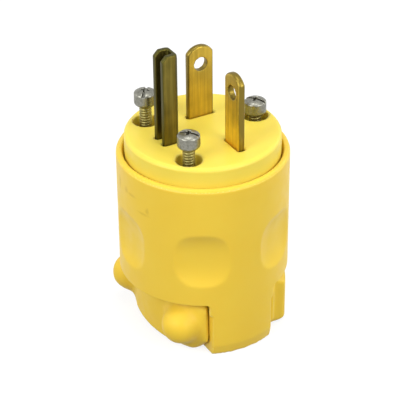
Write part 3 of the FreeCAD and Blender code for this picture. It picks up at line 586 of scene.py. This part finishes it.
def plated_steel(name, plain, dark, roughness):
    """Plated steel: bright, with a fine crystalline skin that makes it darker and duller in patches,
    and painted shade that makes it darker in the recesses. The real crystals are finer. They are
    drawn PLATING_SPANGLE wide so that they show."""
    material, tree, shader, place = start_material(name)
    spangle = add_node(tree, "TexNoise", {"Vector": place, "Scale": 1 / PLATING_SPANGLE,
                                          "Detail": 4.0})
    curve = add_node(tree, "NewGeometry")
    # Painted shade: darker where the surface curves inward.
    recess_shade = add_node(tree, "MapRange", {"Value": curve.outputs["Pointiness"], "From Min": 0.5,
                                        "From Max": 0.42, "To Max": 0.6})
    dull = add_node(tree, "MapRange", {"Value": spangle.outputs["Fac"], "From Min": 0.4,
                                       "From Max": 0.75, "To Max": 0.6})
    both = add_node(tree, "Math", {0: dull.outputs[0], 1: recess_shade.outputs[0]}, operation="ADD",
                    use_clamp=True)
    colour = add_node(tree, "Mix", {0: both.outputs[0], 6: linear(plain), 7: linear(dark)},
                      data_type="RGBA")
    tree.links.new(colour.outputs[2], shader.inputs["Base Color"])
    gloss = add_node(tree, "MapRange", {"Value": spangle.outputs["Fac"], "From Min": 0.3,
                                        "From Max": 0.7, "To Min": roughness,
                                        "To Max": roughness + 0.2})
    tree.links.new(gloss.outputs[0], shader.inputs["Roughness"])
    skin = add_node(tree, "Bump", {"Height": spangle.outputs["Fac"], "Strength": 0.3,
                                   "Distance": 0.02 * MM})
    tree.links.new(skin.outputs[0], shader.inputs["Normal"])
    shader.inputs["Metallic"].default_value = 1.0
    return material


screw_steel = plated_steel("zinc_plated_steel", STEEL, STEEL_DARK, HEAD_ROUGHNESS)
# The threads' yellow tint is a painted reflection of the yellow wells.
thread_steel_reflecting_yellow = plated_steel("dulled_zinc_thread_painted_reflection", THREAD_STEEL_REFLECTING_YELLOW, THREAD_DARK_REFLECTING_YELLOW, THREAD_ROUGHNESS)
screw_head = head_mesh()
for node, turn in SCREW_TURNS.items():
    low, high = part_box(node)
    mesh = bmesh.new()
    threaded_shank(mesh, (high.z - low.z) / MM - HEAD_HEIGHT)
    bmesh.ops.recalc_face_normals(mesh, faces=mesh.faces)
    shank_faces = len(mesh.faces)
    mesh.from_mesh(screw_head)
    bmesh.ops.rotate(mesh, verts=mesh.verts, matrix=Matrix.Rotation(math.radians(turn), 3, "Z"))
    under = Vector(((low.x + high.x) / 2, (low.y + high.y) / 2, high.z - HEAD_HEIGHT * MM))
    bmesh.ops.translate(mesh, verts=mesh.verts, vec=under)
    screw = place_mesh(node + "_threaded", mesh)
    smooth_faces(screw)
    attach(screw, "root")
    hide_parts(node)
    coat(screw, screw_steel, thread_steel_reflecting_yellow)
    head_faces = len(screw.data.polygons) - shank_faces
    screw.data.polygons.foreach_set("material_index", [1] * shank_faces + [0] * head_faces)


# Cord jaws: blocks moulded in the sleeve's yellow PVC that stand in its two windows and grip the
# cord between ribs. The round bosses on their backs hold the screws' nuts, run smoothly into the
# block, and ride on the screws.
JAW_CELL = 0.26
JAW_PASSES = 16
JAW_BOSSES = {"twin_jaw": ((-11.88, -12.4), (11.88, -12.4)), "single_jaw": ((0.0, 16.8),)}
BOSS_RADIUS = 4.65
BOSS_HEIGHT = 7.1
BOSS_REACH = (0.35, 0.7)
BOSS_FOOT = 18.6
BOSS_BLEND = 8.0
BOSS_BLEND_FADE = 2.5
BOSS_CROWN = 21.3
BOSS_CROWN_FADE = 1.8
BOSS_CROWN_SHARE = 0.1
SHOULDER_HEIGHT = 2.2
SHOULDER_DEPTH = 1.3
SHOULDER_RADIUS = 15.0
SHOULDER_SPREAD = (40.0, 58.0)
JAW_YELLOW = "#EBC83F"
JAW_DEEP = "#E2BC34"
JAW_ROUGHNESS = 0.48
# The range over which the jaws' edges grow paler, from rubbing and a painted highlight.
JAW_EDGE_WEAR_AND_HIGHLIGHT = (0.7, 1.8)

# The corners of the pad that brings a cheek nearer to the foot beside it and slopes its underside:
# four at the top of the slope, four at its bottom, and four at the top of the cheek.
CHEEK_PAD = (
    (12.6, 7.67, 3.4), (16.6, 7.67, 3.4), (16.6, 8.7, 3.4), (12.6, 11.6, 3.4),
    (12.6, 7.8, 0.9), (14.1, 7.8, 0.9), (13.6, 10.6, 0.9), (12.6, 11.0, 0.9),
    (12.6, 7.67, 12.4), (15.6, 7.67, 12.4), (15.6, 8.7, 12.4), (12.6, 11.6, 12.4),
)


def add_jaw_forms(mesh, bosses):
    """Adds the round bosses and the pads of the two cheeks."""
    for across, along in bosses:
        place = Matrix.Translation(Vector((across, along, BOSS_HEIGHT)) * MM)
        bmesh.ops.create_icosphere(mesh, subdivisions=5, radius=BOSS_RADIUS * MM, matrix=place)
    way = math.copysign(1.0, bosses[0][1])
    for side in (-1.0, 1.0):
        corners = [mesh.verts.new(Vector((side * x, way * y, z)) * MM) for x, y, z in CHEEK_PAD]
        bmesh.ops.convex_hull(mesh, input=corners)


def from_boss(points, boss):
    """The points as seen from the middle of a boss."""
    return points - np.array((*boss, BOSS_HEIGHT))


def jaw_form(points, bosses, top):
    """The bosses' domes, and the shoulder that sets the jaw back along its upper edge, where the
    sleeve's window shades it."""
    points = points.copy()
    for boss in bosses:
        offset = from_boss(points, boss)
        distance = np.linalg.norm(offset, axis=1)
        dome = (distance > BOSS_RADIUS - BOSS_REACH[0]) & (distance < BOSS_RADIUS + BOSS_REACH[1])
        dome &= np.hypot(points[:, 0], points[:, 1]) > BOSS_FOOT
        points[dome] += offset[dome] * (BOSS_RADIUS / distance[dome] - 1)[:, None]
    out = np.hypot(points[:, 0], points[:, 1])
    rise = np.clip((points[:, 2] - top) / SHOULDER_HEIGHT + 1, 0, 1)
    aside = np.degrees(np.arctan2(np.abs(points[:, 0]), np.abs(points[:, 1])))
    fade = np.interp(aside, SHOULDER_SPREAD, (1, 0))
    inward = np.where(out > SHOULDER_RADIUS, SHOULDER_DEPTH * fade * rise ** 2 / out, 0)
    points[:, :2] *= (1 - inward)[:, None]
    return points


def boss_foot(points, bosses):
    """The shares in which the bosses run into the block: most round their feet, least on their
    domes, none away from them."""
    out = np.hypot(points[:, 0], points[:, 1])
    crown = np.clip((BOSS_CROWN - out) / BOSS_CROWN_FADE, BOSS_CROWN_SHARE, 1)
    near = [BOSS_BLEND - np.linalg.norm(from_boss(points, boss), axis=1) for boss in bosses]
    return np.clip(np.max(near, axis=0) / BOSS_BLEND_FADE, 0, 1) * crown


jaw_pvc = moulded_pvc("satin_jaw_pvc", JAW_YELLOW, JAW_DEEP, PVC_WORN_AND_HIGHLIGHT, JAW_ROUGHNESS, JAW_EDGE_WEAR_AND_HIGHLIGHT)
for node, bosses in JAW_BOSSES.items():
    true_jaw = partial(jaw_form, bosses=bosses, top=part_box(node)[1].z / MM)
    jaw = moulded(node + "_block", node, JAW_CELL, JAW_PASSES, true_jaw,
                  partial(add_jaw_forms, bosses=bosses), partial(boss_foot, bosses=bosses))
    coat(jaw, jaw_pvc)


# Inner pieces, stacked in the sleeve behind the insert: the moulded wire guide, the rubber seal
# that closes round the cord, and the plated clamp plates, terminal screws and nuts. They show only
# from below, and keep the CAD's own meshes.
RUBBER = "#26241F"
RUBBER_PALE = "#3A3833"
RUBBER_BLOOM = 2.0
RUBBER_GRAIN = 0.4
RUBBER_ROUGHNESS = 0.75
PLATE_ROUGHNESS = 0.3

# Each terminal screw's material name ending, and the plain and dark colours of its plating.
TERMINALS = {
    "hot": ("brass_screw", "#C2A04A", "#80662A"),
    "neutral": ("nickel_screw", "#C4C4BC", "#85857C"),
    "ground": ("green_screw", "#3E7F4C", "#23502D"),
}


def soft_rubber(name, plain, pale):
    """Moulded rubber: nearly black and dull, with a powdery bloom and a grain that is drawn
    coarser than the real one so that it shows."""
    material, tree, shader, place = start_material(name)
    bloom = add_node(tree, "TexNoise", {"Vector": place, "Scale": 1 / RUBBER_BLOOM, "Detail": 5.0})
    colour = add_node(tree, "Mix", {0: bloom.outputs["Fac"], 6: linear(plain), 7: linear(pale)},
                      data_type="RGBA")
    tree.links.new(colour.outputs[2], shader.inputs["Base Color"])
    grain = add_node(tree, "TexNoise", {"Vector": place, "Scale": 1 / RUBBER_GRAIN, "Detail": 2.0})
    skin = add_node(tree, "Bump", {"Height": grain.outputs["Fac"], "Strength": 0.4,
                                   "Distance": 0.03 * MM})
    tree.links.new(skin.outputs[0], shader.inputs["Normal"])
    shader.inputs["Roughness"].default_value = RUBBER_ROUGHNESS
    return material


def finish_node(node, material):
    """Gives a CAD node its material."""
    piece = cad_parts[node]
    coat(piece, material)


# The guide's mesh has no wear_and_highlight, so its edges stay plain, with no painted highlight.
finish_node("wire_guide",
            moulded_pvc("satin_guide_pvc", FACE_YELLOW, FACE_DEEP, PVC_WORN_AND_HIGHLIGHT, FACE_ROUGHNESS,
                        SLEEVE_EDGE_WEAR_AND_HIGHLIGHT))
finish_node("dust_seal", soft_rubber("seal_rubber", RUBBER, RUBBER_PALE))
plate_steel = plated_steel("zinc_plated_plate", STEEL, STEEL_DARK, PLATE_ROUGHNESS)
for name, (slot, plain, dark) in TERMINALS.items():
    finish_node(name + "_clamp_plate", plate_steel)
    finish_node(name + "_terminal_screw",
                plated_steel("plated_" + slot, plain, dark, PLATE_ROUGHNESS))
for name in ("left", "front", "rear"):
    finish_node(name + "_clamp_nut", plate_steel)


# Studio: a floor of white paper before a white backdrop, two soft boxes in front, one overhead and
# two weaker ones behind, and the camera that the photograph was taken with. Lengths here are in
# metres.
FLOOR_SIDE = 4.0
FLOOR_GREY = "#818181"
WHITE = "#FFFFFF"
FLOOR_GLOW = 0.82
SKY_FILL = 0.42
MIDDLE = Vector((0.0, 0.0, 0.035))
LAMP_DISTANCE = 0.6
LAMP_SIDE = 0.35

# Each lamp's name, its angles round the plug and above the floor in degrees, and its power.
LAMPS = (
    ("left_box", -79.0, 31.0, 2.32),
    ("right_box", 21.0, 31.0, 2.1),
    ("top_box", 0.0, 90.0, 1.25),
    ("rear_left_box", 221.0, 20.0, 0.4),
    ("rear_right_box", 91.0, 20.0, 0.9),
)


def seen_directly(tree):
    """An output that is 1 where a thing is seen directly, reflected or through another, and 0 where
    it only gives light."""
    path = add_node(tree, "LightPath")
    seen = add_node(tree, "Math", {0: path.outputs["Is Camera Ray"], 1: path.outputs["Is Glossy Ray"]},
                    operation="MAXIMUM")
    all_seen = add_node(tree, "Math", {0: seen.outputs[0], 1: path.outputs["Is Transmission Ray"]},
                        operation="MAXIMUM")
    return all_seen.outputs[0]


def white_floor():
    """Matt white paper that the camera and reflections see as white, with the object's shadow."""
    material = bpy.data.materials.new("white_paper")
    material.use_nodes = True
    tree = material.node_tree
    shader = tree.nodes["Principled BSDF"]
    shader.inputs["Base Color"].default_value = linear(FLOOR_GREY)
    shader.inputs["Roughness"].default_value = 1.0
    shader.inputs["Specular IOR Level"].default_value = 0.0
    glow = add_node(tree, "Math", {0: seen_directly(tree), 1: FLOOR_GLOW}, operation="MULTIPLY")
    tree.links.new(glow.outputs[0], shader.inputs["Emission Strength"])
    shader.inputs["Emission Color"].default_value = linear(WHITE)
    return material


def soft_light(name, place, aim, side, power):
    """A square soft box that points at a place."""
    lamp = bpy.data.lights.new(name, "AREA")
    lamp.shape = "SQUARE"
    lamp.size = side
    lamp.energy = power
    box = bpy.data.objects.new(name, lamp)
    box.location = place
    box.rotation_mode = "QUATERNION"
    box.rotation_quaternion = (Vector(aim) - Vector(place)).to_track_quat("-Z", "Y")
    bpy.context.scene.collection.objects.link(box)


mesh = bmesh.new()
bmesh.ops.create_grid(mesh, x_segments=1, y_segments=1, size=FLOOR_SIDE / 2)
floor = place_mesh("floor", mesh)
coat(floor, white_floor())

world = bpy.data.worlds.new("studio")
world.use_nodes = True
bpy.context.scene.world = world
sky = world.node_tree
background = sky.nodes["Background"]
level = add_node(sky, "MapRange", {"Value": seen_directly(sky), "To Min": SKY_FILL, "To Max": 1.0})
sky.links.new(level.outputs[0], background.inputs["Strength"])
background.inputs["Color"].default_value = linear(WHITE)

for name, around, above, power in LAMPS:
    turn = math.radians(around)
    rise = math.radians(above)
    way = Vector((math.cos(turn) * math.cos(rise), math.sin(turn) * math.cos(rise), math.sin(rise)))
    soft_light(name, MIDDLE + way * LAMP_DISTANCE, MIDDLE, LAMP_SIDE, power)

# The camera: fitted to the blades, holes, screws and rim in the photograph. AIM is the place that
# lies at AIM_PIXEL in the picture.
AZIMUTH = math.radians(61.1)
ELEVATION = math.radians(31.9)
ROLL = math.radians(-0.5)
DISTANCE = 0.35
FOCAL_PIXELS = 1602.3
PICTURE_PIXELS = 400
SENSOR = 36.0
AIM = Vector((0.0, 0.0, 0.0475))
AIM_PIXEL = (202.77, 129.07)
AIM_ASIDE = (AIM_PIXEL[0] - PICTURE_PIXELS / 2) / FOCAL_PIXELS * DISTANCE
AIM_UP = (PICTURE_PIXELS / 2 - AIM_PIXEL[1]) / FOCAL_PIXELS * DISTANCE

back = Vector((math.sin(AZIMUTH) * math.cos(ELEVATION), -math.cos(AZIMUTH) * math.cos(ELEVATION),
               math.sin(ELEVATION)))
level_right = Vector((math.cos(AZIMUTH), math.sin(AZIMUTH), 0.0))
level_up = back.cross(level_right)
right = level_right * math.cos(ROLL) + level_up * math.sin(ROLL)
up = level_up * math.cos(ROLL) - level_right * math.sin(ROLL)
lens = bpy.data.cameras.new("camera")
lens.sensor_width = SENSOR
lens.lens = FOCAL_PIXELS / PICTURE_PIXELS * SENSOR
lens.clip_start = 0.02
lens.clip_end = 20.0
camera = bpy.data.objects.new("camera", lens)
spot = AIM + back * DISTANCE - right * AIM_ASIDE - up * AIM_UP
camera.matrix_world = Matrix((
    (right.x, up.x, back.x, spot.x),
    (right.y, up.y, back.y, spot.y),
    (right.z, up.z, back.z, spot.z),
    (0.0, 0.0, 0.0, 1.0),
))
bpy.context.scene.collection.objects.link(camera)
bpy.context.scene.camera = camera
bpy.context.scene.view_settings.view_transform = "Standard"
